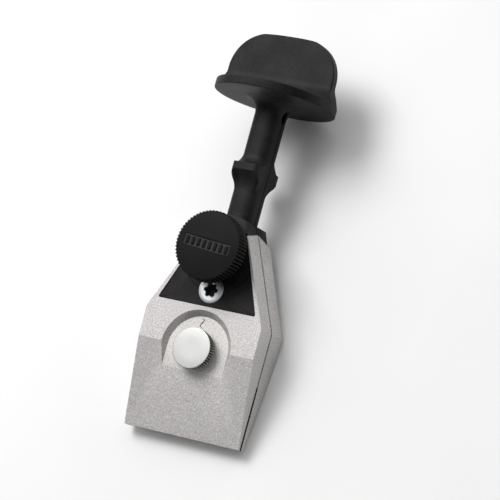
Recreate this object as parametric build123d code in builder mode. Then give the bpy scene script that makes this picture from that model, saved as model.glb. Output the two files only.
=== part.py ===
"""Hand-held knife sharpening jig: a slim sprung handle with two clamping jaws.

The jig is mirror-built about the plane Z = 0, where it is split so that it can open.
It lies along Y: the jaws point to -Y and the thumb tab to +Y. +Z is the side that carries
the two knobs. The origin is the middle of the underside of the round stop disc, the face
that rides on a grinder's support bar. All sizes are in millimetres.
"""
import math
import os

from build123d import *

os.makedirs("parts", exist_ok=True)

# ---------------------------------------------------------------- layout along the tool
# "Reach" distances run up the tool, from the jaw tips (0) to the top of the thumb tab.
REACH_PAD_TOP = 22.0
REACH_ADJUST = 29.2
REACH_RIDGE = 30.0
REACH_SHOULDER = 40.7
REACH_FOOT = 44.2
REACH_JAW_SCREW = 50.2
REACH_LOCK = 63.4
REACH_JAW_TOP_FRONT = 70.6
REACH_JAW_TOP = 72.8
REACH_FOOT_TOP = 75.8
REACH_ARM_LOW = 75.0
REACH_WING_TOP = 76.5
REACH_FLANGE = 92.95
REACH_SLOT = 112.3
REACH_FLEX = 116.0
REACH_SLOT_END = 116.7
REACH_STOP = 119.4
REACH_LEDGE = 122.6
REACH_TOP = 143.1

SPLIT = 0.2          # half of the slit between the two halves of the tool
FIT = 0.05           # radial play of a shaft or a pivot that turns

# ---------------------------------------------------------------- jaws
JAW_HALF_WIDTH = 22.5
JAW_TAPER = 0.466    # half width lost per millimetre of reach above the shoulder
JAW_CORNER_R = 3.5
TIP_HALF_THICK = 1.565
RIDGE_Z = 8.3
JAW_TOP_Z = 9.0
WEB_Z = 3.2          # floor of the pocket that takes the handle's foot
PAD_THICK = 0.55
PAD_GAP = 0.04       # half of the gap between the two pads when the jaws are shut
DISH_FLOOR_Z = 6.45
DISH_R = 11.7
DISH_TOP_R = DISH_R + (JAW_TOP_Z - DISH_FLOOR_Z) * math.tan(math.radians(43))
DISH_REACH = 29.3
DISH_SIDE_DEPTH = 16.0
BOSS_R = 4.2
BOSS_Z = 5.0
LOCK_HOLE_R = 5.6

# ---------------------------------------------------------------- moulded handle
FOOT_HALF_WIDTH = 19.2
FOOT_TOP_HALF_WIDTH = 6.1
FOOT_FACE_Z = 8.45
FOOT_CORNER_R = 0.6
FOOT_CROWN = 1.2
ARM_LOW_HALF_WIDTH = 5.3
ARM_HIGH_HALF_WIDTH = 5.0
ARM_SIDE_Z = 4.0
ARM_CREST_Z = 5.3
FLANGE_THICK = 2.5
FLANGE_Z = 9.0
FLANGE_HALF_WIDTH = 5.3
SLOT_HALF = 0.88
FLEX_R = 2.3
FLEX_Z = SLOT_HALF + FLEX_R
DISC_R = 21.5
NECK_HALF = 5.4
NECK_FILLET = 3.1
TAB_HALF_WIDTH = 20.6
TAB_HALF_THICK = 1.8
TAB_CORNER_R = 14.5
TAB_ROOT_R = 4.0

# ---------------------------------------------------------------- adjusting screw (M5 x 0.8)
M5_R = 2.5
ADJUST_HOLE_R = 3.1
ROCKER_R = 3.5       # half-round saddle and nut, which let the screw stay straight
ROCKER_Z = 6.0
ROCKER_HALF_LENGTH = 5.5
ROCKER_FACE_Z = 6.85
ROCKER_HALF_WIDTH = 3.2
SEAT_HALF_WIDTH = 3.56
SEAT_END_PLAY = 0.15
ADJUST_KNOB_R = 7.15
ADJUST_KNOB_Z = 6.9
ADJUST_KNOB_TOP_Z = 11.0
ADJUST_KNOB_BEVEL = 0.3
ADJUST_SCREW_TOP_Z = 10.2
ADJUST_SCREW_END_Z = -8.1
KNURL_COUNT = 48
KNURL_DEPTH = 0.16

# ---------------------------------------------------------------- locking screw (M8 x 1.25)
M8_R = 4.0
INSERT_R = 5.4
INSERT_TOP_Z = 8.6
LOCK_HUB_R = 7.6
LOCK_HUB_Z = 8.8
LOCK_KNOB_R = 12.15
LOCK_RIM_Z = 12.8
LOCK_EDGE_Z = 19.0
LOCK_TOP_Z = 20.3
LOCK_SCREW_TOP_Z = 17.0
LOCK_SHOULDER_Z = 1.1
LOCK_NOSE_R = 1.5
LOCK_NOSE_Z = -0.3
RIB_COUNT = 60
RIB_DEPTH = 0.5
BADGE_LENGTH = 18.6
BADGE_WIDTH = 4.6
BADGE_FLOOR_Z = 19.4
SHOE_R = 3.6
SHOE_Z = 1.05
ANVIL_FACE_Z = -1.5
ANVIL_R = 5.4
ANVIL_BACK_Z = -6.2

# ---------------------------------------------------------------- jaw screws (M5, six-lobe)
SCREW_HEAD_R = 4.7
SCREW_FACE_Z = 8.4
SCREW_CONE_Z = 6.2
SCREW_END_Z = 0.7
LOBE_R = 0.55
LOBE_PITCH_R = 1.75
SOCKET_R = 1.6
SOCKET_DEPTH = 1.9


def up(reach):
    """Y of a point that lies this far up the tool from the jaw tips."""
    return reach - REACH_STOP


def jaw_half_width(reach):
    """Half width of the jaw's outline at a point above its shoulder."""
    return JAW_HALF_WIDTH - (reach - REACH_SHOULDER) * JAW_TAPER


def across(reach):
    """Plane across the tool at this reach, with X to the right and Z up the page."""
    return Plane((0, up(reach), 0), x_dir=(1, 0, 0), z_dir=(0, -1, 0))


def disc_at(reach, radius):
    """Sketch a disc on the tool's middle line, for a turned piece or a hole along Z."""
    with Locations((0, up(reach))):
        Circle(radius)


# ======================================================================= jaws
# Each jaw is a zinc die casting: a wedge that grows from a thin tip to a ridge, then runs
# level to its sloped top. A tapered pocket in its face holds the foot of the handle.
with BuildPart() as front_jaw:
    with BuildSketch(Plane.YZ):
        with BuildLine():
            Polyline(
                (up(0), SPLIT),
                (up(0), TIP_HALF_THICK),
                (up(REACH_RIDGE), RIDGE_Z),
                (up(REACH_JAW_TOP_FRONT), JAW_TOP_Z),
                (up(REACH_JAW_TOP), SPLIT),
                close=True,
            )
        make_face()
    extrude(amount=JAW_HALF_WIDTH, both=True)

    with BuildSketch(Plane.XY) as jaw_outline:
        with BuildLine():
            Polyline(
                (JAW_HALF_WIDTH, up(0)),
                (JAW_HALF_WIDTH, up(REACH_SHOULDER)),
                (jaw_half_width(REACH_JAW_TOP), up(REACH_JAW_TOP)),
                (-jaw_half_width(REACH_JAW_TOP), up(REACH_JAW_TOP)),
                (-JAW_HALF_WIDTH, up(REACH_SHOULDER)),
                (-JAW_HALF_WIDTH, up(0)),
                close=True,
            )
        make_face()
        shoulders = jaw_outline.vertices().group_by(Axis.Y)[1]
        fillet(shoulders, radius=JAW_CORNER_R)
    extrude(amount=JAW_TOP_Z, mode=Mode.INTERSECT)

    # shallow step along the gripping edge, filled by the pad
    with BuildSketch(Plane.XY.offset(SPLIT)):
        with Locations((0, up(0))):
            Rectangle(2 * JAW_HALF_WIDTH, REACH_PAD_TOP, align=(Align.CENTER, Align.MIN))
    extrude(amount=PAD_THICK + PAD_GAP - SPLIT, mode=Mode.SUBTRACT)

    # tapered pocket for the foot, open at the top
    with BuildSketch(Plane.XY.offset(WEB_Z)) as foot_outline:
        with BuildLine():
            Polyline(
                (FOOT_HALF_WIDTH, up(REACH_FOOT)),
                (FOOT_TOP_HALF_WIDTH, up(REACH_FOOT_TOP)),
                (-FOOT_TOP_HALF_WIDTH, up(REACH_FOOT_TOP)),
                (-FOOT_HALF_WIDTH, up(REACH_FOOT)),
                close=True,
            )
        make_face()
        fillet(foot_outline.vertices().group_by(Axis.Y)[0], radius=FOOT_CORNER_R)
    extrude(amount=JAW_TOP_Z, mode=Mode.SUBTRACT)

    # tapped boss that locates the foot
    with BuildSketch(Plane.XY.offset(WEB_Z)):
        disc_at(REACH_JAW_SCREW, BOSS_R)
    extrude(amount=BOSS_Z - WEB_Z)
    with BuildSketch(Plane.XY.offset(SCREW_END_Z)):
        disc_at(REACH_JAW_SCREW, M5_R)
    extrude(amount=BOSS_Z, mode=Mode.SUBTRACT)

    # window through which the locking screw presses
    with BuildSketch(Plane.XY):
        disc_at(REACH_LOCK, LOCK_HOLE_R)
    extrude(amount=WEB_Z, mode=Mode.SUBTRACT)

    # dished flat for the adjusting knob: a flared round wall that opens down the wedge
    with BuildSketch(Plane.YZ):
        with BuildLine():
            Polyline(
                (up(DISH_REACH), DISH_FLOOR_Z),
                (up(DISH_REACH) + DISH_R, DISH_FLOOR_Z),
                (up(DISH_REACH) + DISH_TOP_R, JAW_TOP_Z),
                (up(DISH_REACH), JAW_TOP_Z),
                close=True,
            )
        make_face()
    revolve(axis=Axis((0, up(DISH_REACH), 0), (0, 0, 1)), mode=Mode.SUBTRACT)
    with BuildSketch(across(DISH_REACH)):
        with BuildLine():
            Polyline(
                (DISH_R, DISH_FLOOR_Z),
                (DISH_TOP_R, JAW_TOP_Z),
                (-DISH_TOP_R, JAW_TOP_Z),
                (-DISH_R, DISH_FLOOR_Z),
                close=True,
            )
        make_face()
    extrude(amount=DISH_SIDE_DEPTH, mode=Mode.SUBTRACT)

    # half-round seat across the jaw for the saddle, and the hole for the screw
    with BuildSketch(Plane.YZ):
        with Locations((up(REACH_ADJUST), ROCKER_Z)):
            Circle(ROCKER_R + FIT)
            Rectangle(2 * SEAT_HALF_WIDTH, ROCKER_R, align=(Align.CENTER, Align.MIN))
    extrude(amount=ROCKER_HALF_LENGTH + SEAT_END_PLAY, both=True, mode=Mode.SUBTRACT)
    with BuildSketch(Plane.XY):
        disc_at(REACH_ADJUST, ADJUST_HOLE_R)
    extrude(amount=RIDGE_Z, mode=Mode.SUBTRACT)

with BuildPart() as rear_jaw:
    mirror(front_jaw.part, about=Plane.XY)

# Thin pads on the gripping edges keep the blade from slipping or being marked.
with BuildPart() as front_jaw_pad:
    with BuildSketch(Plane.XY.offset(PAD_GAP)):
        with Locations((0, up(0))):
            Rectangle(2 * JAW_HALF_WIDTH, REACH_PAD_TOP, align=(Align.CENTER, Align.MIN))
    extrude(amount=PAD_THICK)

with BuildPart() as rear_jaw_pad:
    mirror(front_jaw_pad.part, about=Plane.XY)


# ======================================================================= handle arms
# The handle is one moulding whose lower part is slit into two springy arms. Each arm is
# its own solid here, with a rounded top that turns in the head where the real one bends.
def arm_section(half_width):
    """Half of the handle's section: flat at the slit and the sides, bowed in front."""
    with BuildLine() as section:
        Line((-half_width, SPLIT), (half_width, SPLIT))
        Line((half_width, SPLIT), (half_width, ARM_SIDE_Z))
        ThreePointArc((half_width, ARM_SIDE_Z), (0, ARM_CREST_Z), (-half_width, ARM_SIDE_Z))
        Line((-half_width, ARM_SIDE_Z), (-half_width, SPLIT))
    make_face(section.edges())


with BuildPart() as arm_blank:
    with BuildSketch(across(REACH_ARM_LOW)):
        arm_section(ARM_LOW_HALF_WIDTH)
    with BuildSketch(across(REACH_SLOT)):
        arm_section(ARM_HIGH_HALF_WIDTH)
    loft()

    # top of the arm, thinned by the relief slot and rounded where it flexes
    with BuildSketch(Plane.YZ):
        with Locations((up(REACH_FLEX), FLEX_Z)):
            Circle(FLEX_R)
            Rectangle(REACH_FLEX - REACH_SLOT, 2 * FLEX_R, align=(Align.MAX, Align.CENTER))
    extrude(amount=ARM_HIGH_HALF_WIDTH - FIT, both=True)

    # finger flange
    with BuildSketch(across(REACH_FLANGE)):
        with Locations((0, SPLIT)):
            Rectangle(2 * FLANGE_HALF_WIDTH, FLANGE_Z - SPLIT, align=(Align.CENTER, Align.MIN))
    extrude(amount=-FLANGE_THICK)

    # foot: fills the jaw's pocket, then stands proud of the jaw down to the slit
    with BuildSketch(Plane.XY.offset(WEB_Z)) as foot_face:
        with BuildLine():
            Polyline(
                (FOOT_TOP_HALF_WIDTH, up(REACH_FOOT_TOP)),
                (FOOT_HALF_WIDTH, up(REACH_FOOT)),
                (-FOOT_HALF_WIDTH, up(REACH_FOOT)),
                (-FOOT_TOP_HALF_WIDTH, up(REACH_FOOT_TOP)),
            )
            ThreePointArc(
                (-FOOT_TOP_HALF_WIDTH, up(REACH_FOOT_TOP)),
                (0, up(REACH_FOOT_TOP + FOOT_CROWN)),
                (FOOT_TOP_HALF_WIDTH, up(REACH_FOOT_TOP)),
            )
        make_face()
        fillet(foot_face.vertices().group_by(Axis.Y)[0], radius=FOOT_CORNER_R)
    extrude(amount=FOOT_FACE_Z - WEB_Z)
    with BuildSketch(Plane.XY.offset(SPLIT)):
        with BuildLine():
            Polyline(
                (FOOT_TOP_HALF_WIDTH, up(REACH_WING_TOP)),
                (FOOT_TOP_HALF_WIDTH, up(REACH_JAW_TOP)),
                (-FOOT_TOP_HALF_WIDTH, up(REACH_JAW_TOP)),
                (-FOOT_TOP_HALF_WIDTH, up(REACH_WING_TOP)),
                close=True,
            )
        make_face()
    extrude(amount=ARM_SIDE_Z - SPLIT)

    # recess over the jaw's boss, then the countersunk screw hole
    with BuildSketch(Plane.XY.offset(WEB_Z)):
        disc_at(REACH_JAW_SCREW, BOSS_R)
    extrude(amount=BOSS_Z - WEB_Z, mode=Mode.SUBTRACT)
    with BuildSketch(Plane.YZ):
        with BuildLine():
            Polyline(
                (up(REACH_JAW_SCREW), WEB_Z),
                (up(REACH_JAW_SCREW) + M5_R, WEB_Z),
                (up(REACH_JAW_SCREW) + M5_R, SCREW_CONE_Z),
                (up(REACH_JAW_SCREW) + SCREW_HEAD_R, SCREW_FACE_Z),
                (up(REACH_JAW_SCREW) + SCREW_HEAD_R, JAW_TOP_Z),
                (up(REACH_JAW_SCREW), JAW_TOP_Z),
                close=True,
            )
        make_face()
    revolve(axis=Axis((0, up(REACH_JAW_SCREW), 0), (0, 0, 1)), mode=Mode.SUBTRACT)


with BuildPart() as front_handle_arm:
    add(arm_blank.part)
    with BuildSketch(Plane.XY):
        disc_at(REACH_LOCK, INSERT_R)
    extrude(amount=JAW_TOP_Z, mode=Mode.SUBTRACT)

with BuildPart() as rear_handle_arm:
    mirror(arm_blank.part, about=Plane.XY)
    with BuildSketch(Plane.XY.offset(ANVIL_BACK_Z)):
        disc_at(REACH_LOCK, ANVIL_R)
    extrude(amount=-ANVIL_BACK_Z, mode=Mode.SUBTRACT)


# ======================================================================= handle head
# Stop disc, thumb tab and neck, with two seats in the neck for the tops of the arms.
with BuildPart() as handle_head:
    with BuildSketch(across(REACH_STOP)):
        Circle(DISC_R)
    extrude(amount=REACH_STOP - REACH_LEDGE)

    with BuildSketch(Plane.XY.offset(-TAB_HALF_THICK)) as tab_outline:
        with Locations((0, up(REACH_LEDGE))):
            Rectangle(2 * TAB_HALF_WIDTH, REACH_TOP - REACH_LEDGE, align=(Align.CENTER, Align.MIN))
        fillet(tab_outline.vertices().group_by(Axis.Y)[-1], radius=TAB_CORNER_R)
    extrude(amount=2 * TAB_HALF_THICK)
    tab_root = (
        handle_head.edges()
        .filter_by(Axis.X)
        .filter_by_position(Axis.Y, up(REACH_LEDGE) - FIT, up(REACH_LEDGE) + FIT)
    )
    fillet(tab_root, radius=TAB_ROOT_R)

    with BuildSketch(across(REACH_FLEX)):
        Rectangle(2 * NECK_HALF, 2 * NECK_HALF)
    extrude(amount=REACH_FLEX - REACH_STOP)
    neck_root = (
        handle_head.edges()
        .filter_by(GeomType.LINE)
        .filter_by_position(Axis.Y, up(REACH_STOP) - FIT, up(REACH_STOP) + FIT)
    )
    fillet(neck_root, radius=NECK_FILLET)

    with BuildSketch(Plane.YZ):
        with Locations((up(REACH_FLEX), FLEX_Z), (up(REACH_FLEX), -FLEX_Z)):
            Circle(FLEX_R + FIT)
        with Locations((up(REACH_FLEX), 0)):
            Rectangle(REACH_SLOT_END - REACH_FLEX, 2 * FLEX_Z, align=(Align.MIN, Align.CENTER))
    extrude(amount=DISC_R, both=True, mode=Mode.SUBTRACT)


# ======================================================================= jaw screws
with BuildPart() as front_jaw_screw:
    with BuildSketch(Plane.YZ):
        with BuildLine():
            Polyline(
                (up(REACH_JAW_SCREW), SCREW_END_Z),
                (up(REACH_JAW_SCREW) + M5_R, SCREW_END_Z),
                (up(REACH_JAW_SCREW) + M5_R, SCREW_CONE_Z),
                (up(REACH_JAW_SCREW) + SCREW_HEAD_R, SCREW_FACE_Z),
                (up(REACH_JAW_SCREW), SCREW_FACE_Z),
                close=True,
            )
        make_face()
    revolve(axis=Axis((0, up(REACH_JAW_SCREW), 0), (0, 0, 1)))
    with BuildSketch(Plane.XY.offset(SCREW_FACE_Z)):
        disc_at(REACH_JAW_SCREW, SOCKET_R)
        with Locations((0, up(REACH_JAW_SCREW))):
            with PolarLocations(LOBE_PITCH_R, 6):
                Circle(LOBE_R)
    extrude(amount=-SOCKET_DEPTH, mode=Mode.SUBTRACT)

with BuildPart() as rear_jaw_screw:
    mirror(front_jaw_screw.part, about=Plane.XY)


# ======================================================================= adjusting screw
# The screw draws the jaws together: its knob bears on the saddle in the front jaw and its
# thread runs in the nut in the rear jaw. Both are half round, so they rock as the jaws open.
with BuildPart() as adjusting_saddle:
    with BuildSketch(Plane.YZ):
        with Locations((up(REACH_ADJUST), ROCKER_Z)):
            Circle(ROCKER_R)
            Rectangle(2 * ROCKER_R, 2 * ROCKER_R, align=(Align.CENTER, Align.MIN), mode=Mode.SUBTRACT)
            Rectangle(2 * ROCKER_HALF_WIDTH, ROCKER_FACE_Z - ROCKER_Z, align=(Align.CENTER, Align.MIN))
    extrude(amount=ROCKER_HALF_LENGTH, both=True)
    with BuildSketch(Plane.XY):
        disc_at(REACH_ADJUST, M5_R + FIT)
    extrude(amount=RIDGE_Z, mode=Mode.SUBTRACT)

with BuildPart() as adjusting_nut:
    mirror(adjusting_saddle.part, about=Plane.XY)

with BuildPart() as adjusting_screw:
    with BuildSketch(Plane.XY.offset(ADJUST_SCREW_END_Z)):
        disc_at(REACH_ADJUST, M5_R)
    extrude(amount=ADJUST_SCREW_TOP_Z - ADJUST_SCREW_END_Z)

with BuildPart() as adjusting_knob:
    with BuildSketch(Plane.XY.offset(ADJUST_KNOB_Z)):
        disc_at(REACH_ADJUST, ADJUST_KNOB_R)
        with Locations((0, up(REACH_ADJUST))):
            with PolarLocations(ADJUST_KNOB_R, KNURL_COUNT):
                Circle(KNURL_DEPTH, mode=Mode.SUBTRACT)
    extrude(amount=ADJUST_KNOB_TOP_Z - ADJUST_KNOB_BEVEL - ADJUST_KNOB_Z)
    with BuildSketch(Plane.XY.offset(ADJUST_KNOB_TOP_Z - ADJUST_KNOB_BEVEL)):
        disc_at(REACH_ADJUST, ADJUST_KNOB_R - KNURL_DEPTH)
    extrude(amount=ADJUST_KNOB_BEVEL, taper=45)
    with BuildSketch(Plane.XY.offset(ADJUST_KNOB_Z)):
        disc_at(REACH_ADJUST, M5_R)
    extrude(amount=ADJUST_SCREW_TOP_Z - ADJUST_KNOB_Z, mode=Mode.SUBTRACT)


# ======================================================================= locking screw
# The screw pushes the feet apart: it is threaded in the insert in the front foot, and its
# swivelling shoe bears on the anvil in the rear foot.
with BuildPart() as locking_insert:
    with BuildSketch(Plane.XY.offset(WEB_Z)):
        disc_at(REACH_LOCK, INSERT_R)
    extrude(amount=INSERT_TOP_Z - WEB_Z)
    with BuildSketch(Plane.XY.offset(WEB_Z)):
        disc_at(REACH_LOCK, M8_R + FIT)
    extrude(amount=INSERT_TOP_Z - WEB_Z, mode=Mode.SUBTRACT)

with BuildPart() as locking_screw:
    with BuildSketch(Plane.XY.offset(LOCK_SHOULDER_Z)):
        disc_at(REACH_LOCK, M8_R)
    extrude(amount=LOCK_SCREW_TOP_Z - LOCK_SHOULDER_Z)
    with BuildSketch(Plane.XY.offset(LOCK_NOSE_Z)):
        disc_at(REACH_LOCK, LOCK_NOSE_R)
    extrude(amount=LOCK_SHOULDER_Z - LOCK_NOSE_Z)

with BuildPart() as locking_shoe:
    with BuildSketch(Plane.XY.offset(ANVIL_FACE_Z + FIT)):
        disc_at(REACH_LOCK, SHOE_R)
    extrude(amount=SHOE_Z - ANVIL_FACE_Z - FIT)
    with BuildSketch(Plane.XY.offset(LOCK_NOSE_Z - FIT)):
        disc_at(REACH_LOCK, LOCK_NOSE_R + FIT)
    extrude(amount=SHOE_Z - LOCK_NOSE_Z + FIT, mode=Mode.SUBTRACT)

with BuildPart() as locking_anvil:
    with BuildSketch(Plane.XY.offset(ANVIL_BACK_Z)):
        disc_at(REACH_LOCK, ANVIL_R)
    extrude(amount=ANVIL_FACE_Z - ANVIL_BACK_Z)

with BuildPart() as locking_knob:
    with BuildSketch(Plane.XY.offset(LOCK_HUB_Z)):
        disc_at(REACH_LOCK, LOCK_HUB_R)
    extrude(amount=LOCK_RIM_Z - LOCK_HUB_Z)
    with BuildSketch(Plane.XY.offset(LOCK_RIM_Z)):
        disc_at(REACH_LOCK, LOCK_KNOB_R)
        with Locations((0, up(REACH_LOCK))):
            with PolarLocations(LOCK_KNOB_R, RIB_COUNT):
                Circle(RIB_DEPTH / 2, mode=Mode.SUBTRACT)
    extrude(amount=LOCK_EDGE_Z - LOCK_RIM_Z)
    with BuildSketch(Plane.YZ):
        with BuildLine():
            Polyline(
                (up(REACH_LOCK) + LOCK_KNOB_R - RIB_DEPTH, LOCK_EDGE_Z),
                (up(REACH_LOCK), LOCK_EDGE_Z),
                (up(REACH_LOCK), LOCK_TOP_Z),
            )
            TangentArc(
                (up(REACH_LOCK), LOCK_TOP_Z),
                (up(REACH_LOCK) + LOCK_KNOB_R - RIB_DEPTH, LOCK_EDGE_Z),
                tangent=(1, 0),
            )
        make_face()
    revolve(axis=Axis((0, up(REACH_LOCK), 0), (0, 0, 1)))
    with BuildSketch(Plane.XY.offset(BADGE_FLOOR_Z)):
        with Locations((0, up(REACH_LOCK))):
            Rectangle(BADGE_LENGTH, BADGE_WIDTH)
    extrude(amount=LOCK_TOP_Z - BADGE_FLOOR_Z, mode=Mode.SUBTRACT)
    with BuildSketch(Plane.XY.offset(LOCK_HUB_Z)):
        disc_at(REACH_LOCK, M8_R)
    extrude(amount=LOCK_SCREW_TOP_Z - LOCK_HUB_Z, mode=Mode.SUBTRACT)


# ======================================================================= write the pieces
pieces = {
    "handle_head": handle_head,
    "front_handle_arm": front_handle_arm,
    "rear_handle_arm": rear_handle_arm,
    "front_jaw": front_jaw,
    "rear_jaw": rear_jaw,
    "front_jaw_pad": front_jaw_pad,
    "rear_jaw_pad": rear_jaw_pad,
    "front_jaw_screw": front_jaw_screw,
    "rear_jaw_screw": rear_jaw_screw,
    "adjusting_knob": adjusting_knob,
    "adjusting_screw": adjusting_screw,
    "adjusting_saddle": adjusting_saddle,
    "adjusting_nut": adjusting_nut,
    "locking_knob": locking_knob,
    "locking_screw": locking_screw,
    "locking_insert": locking_insert,
    "locking_shoe": locking_shoe,
    "locking_anvil": locking_anvil,
}

for label, piece in pieces.items():
    piece.part.label = label
    export_step(piece.part, f"parts/{label}.step")
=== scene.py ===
# %% [markdown]
# # A knife sharpening jig
#
# The real tool is a hand-held clamp. Two zinc jaws hold a knife by its back, a round disc
# behind them rides on a grinder's support bar, and a black moulded handle joins the two. The
# handle is slit along most of its length, so that its two arms spring apart.
#
# The CAD model is the frame. It holds every size, place and joint. This lesson gives each
# piece the surface and the finish of the real one. Numbers are in millimetres, and one factor
# turns them into Blender's metres when a mesh is made.

# %% Load the frame
import math

import bmesh
import bpy
import numpy as np
from mathutils import Matrix, Vector


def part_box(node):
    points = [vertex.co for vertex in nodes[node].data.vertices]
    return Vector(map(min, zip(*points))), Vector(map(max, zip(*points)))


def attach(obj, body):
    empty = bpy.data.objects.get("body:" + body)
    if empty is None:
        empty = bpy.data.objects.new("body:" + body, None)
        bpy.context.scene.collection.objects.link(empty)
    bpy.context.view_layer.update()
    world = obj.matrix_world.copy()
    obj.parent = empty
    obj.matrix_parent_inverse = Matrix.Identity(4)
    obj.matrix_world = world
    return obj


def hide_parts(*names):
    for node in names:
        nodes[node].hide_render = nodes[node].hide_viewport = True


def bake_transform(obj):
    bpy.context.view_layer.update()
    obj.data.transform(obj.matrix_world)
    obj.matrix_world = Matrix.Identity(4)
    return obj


MM = 0.001
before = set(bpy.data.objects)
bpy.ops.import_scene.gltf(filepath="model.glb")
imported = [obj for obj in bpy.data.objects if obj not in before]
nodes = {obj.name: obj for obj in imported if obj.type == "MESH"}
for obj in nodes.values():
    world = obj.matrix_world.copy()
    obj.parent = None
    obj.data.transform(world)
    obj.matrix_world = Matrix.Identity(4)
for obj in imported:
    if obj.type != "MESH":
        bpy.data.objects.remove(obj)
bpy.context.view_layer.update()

# %% [markdown]
# ## Where things are
#
# The tool lies along Y, with the jaw tips at the low end. It is easiest to think in "reach",
# the distance up the tool from the tips, because that is how a maker would dimension it. The
# jaw gives the tips' place, and the knobs give their own axes, so nothing is typed twice.

# %% Reach, and the places that the frame gives
def span(node):
    """Lowest and highest corner of a CAD node, in millimetres."""
    low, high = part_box(node)
    return np.array(low) / MM, np.array(high) / MM


JAW_LOW, _ = span("front_jaw")
TIP = JAW_LOW[1]
_, HEAD_HIGH = span("handle_head")
LOCK_LOW, LOCK_HIGH = span("locking_knob")
ADJUST_LOW, ADJUST_HIGH = span("adjusting_knob")
SCREW_LOW, SCREW_HIGH = span("front_jaw_screw")


def up(reach):
    """Y of a point this far up the tool from the jaw tips."""
    return TIP + reach


lock_y = (LOCK_LOW[1] + LOCK_HIGH[1]) / 2
adjust_y = (ADJUST_LOW[1] + ADJUST_HIGH[1]) / 2
screw_y = (SCREW_LOW[1] + SCREW_HIGH[1]) / 2
print("tips", TIP, "locking knob", lock_y, "adjusting knob", adjust_y, "screw", screw_y)

# %% [markdown]
# ## Turning arrays into pieces
#
# Every new piece is a grid of points: one row for each step along the piece, and one column
# for each step around it. The grid is worked out as a whole array, and one helper makes the
# mesh. Closed loops get a cap at each end. Edges sharper than a given angle are marked, so
# that the shading breaks there and stays smooth elsewhere.

# %% Grid to mesh
def grid_quads(rows, columns):
    """Corner numbers of the quads between neighbouring rows, the last column joined to the first."""
    start = np.arange(rows - 1)[:, None] * columns
    here = np.arange(columns)[None, :]
    after = (here + 1) % columns
    quads = np.stack([start + here, start + after, start + columns + after, start + columns + here], -1)
    return quads.reshape(-1, 4)


def new_piece(name, points, faces, sharp=35):
    """Make a closed mesh of points in millimetres, merge its poles and turn its faces outward."""
    mesh = bpy.data.meshes.new(name)
    mesh.from_pydata((points.reshape(-1, 3) * MM).tolist(), [], faces)
    shell = bmesh.new()
    shell.from_mesh(mesh)
    bmesh.ops.remove_doubles(shell, verts=shell.verts, dist=0.002 * MM)
    bmesh.ops.recalc_face_normals(shell, faces=shell.faces)
    shell.to_mesh(mesh)
    shell.free()
    mesh.shade_smooth()
    mesh.set_sharp_from_angle(angle=math.radians(sharp))
    piece = bpy.data.objects.new(name, mesh)
    bpy.context.scene.collection.objects.link(piece)
    print(name, len(mesh.vertices), "points", len(mesh.polygons), "faces")
    return piece


def loft(name, points, sharp=35):
    """Piece from a grid of closed loops, with a flat cap on the first and the last loop."""
    rows, columns, _ = points.shape
    caps = [list(range(columns))[::-1], list(range((rows - 1) * columns, rows * columns))]
    return new_piece(name, points, grid_quads(rows, columns).tolist() + caps, sharp)


def mirrored(points):
    """The same points on the other side of the slit."""
    return points * np.array([1, 1, -1])


def smooth(low, high, value):
    """0 below low, 1 above high, and a smooth S between them."""
    t = np.clip((value - low) / (high - low), 0, 1)
    return t * t * (3 - 2 * t)


# %% [markdown]
# ## Materials
#
# Colours are picked the way a paint chart gives them, as sRGB hex, and turned to the linear
# values that shaders want. One helper adds a node, sets it up and links it. The finishes here
# are alike in build: a grain drives the tone, the roughness and a shallow bump.

# %% Colour and node helpers
def linear(code):
    """sRGB hex colour to the linear red, green, blue and alpha that a shader takes."""
    parts = np.array([int(code[i:i + 2], 16) for i in (1, 3, 5)]) / 255
    flat = np.where(parts <= 0.04045, parts / 12.92, ((parts + 0.055) / 1.055) ** 2.4)
    return (*flat.tolist(), 1.0)


def add(tree, kind, settings=None, links=None):
    """Add one node: settings go to its properties or input values, links to its inputs."""
    node = tree.nodes.new(kind)
    for key, value in (settings or {}).items():
        if isinstance(key, str) and hasattr(node, key):
            setattr(node, key, value)
        else:
            node.inputs[key].default_value = value
    for key, socket in (links or {}).items():
        tree.links.new(socket, node.inputs[key])
    return node


def material(name):
    """An empty node material, and the node tree to build it in."""
    made = bpy.data.materials.new(name)
    made.use_nodes = True
    made.node_tree.nodes.clear()
    return made, made.node_tree


def place(tree):
    """Object coordinates, which are metres in the tool's own frame."""
    return add(tree, "ShaderNodeTexCoord").outputs["Object"]


def ramp(tree, factor, stops):
    """Colour ramp from (place, hex) stops, driven by a factor."""
    node = add(tree, "ShaderNodeValToRGB", links={"Fac": factor})
    band = node.color_ramp
    band.elements[0].position, band.elements[-1].position = stops[0][0], stops[-1][0]
    band.elements[0].color, band.elements[-1].color = linear(stops[0][1]), linear(stops[-1][1])
    for where, code in stops[1:-1]:
        band.elements.new(where).color = linear(code)
    return node.outputs["Color"]


def noise(tree, width, detail, roughness=0.5):
    """Noise whose features are this many millimetres wide."""
    return add(tree, "ShaderNodeTexNoise",
               {"Scale": 1 / (width * MM), "Detail": detail, "Roughness": roughness},
               {"Vector": place(tree)}).outputs["Fac"]


def mix(tree, share, one, other):
    """Weighted sum: this share of one value and the rest of the other."""
    rest = add(tree, "ShaderNodeMath", {"operation": "MULTIPLY", 1: 1 - share}, {0: other})
    return add(tree, "ShaderNodeMath", {"operation": "MULTIPLY_ADD", 1: share},
               {0: one, 2: rest.outputs[0]}).outputs[0]


def finish(tree, settings, tone, **links):
    """Principled shader with these settings and colour, sent to the material's surface."""
    shader = add(tree, "ShaderNodeBsdfPrincipled", settings, {"Base Color": tone, **links})
    add(tree, "ShaderNodeOutputMaterial", links={"Surface": shader.outputs["BSDF"]})


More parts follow.
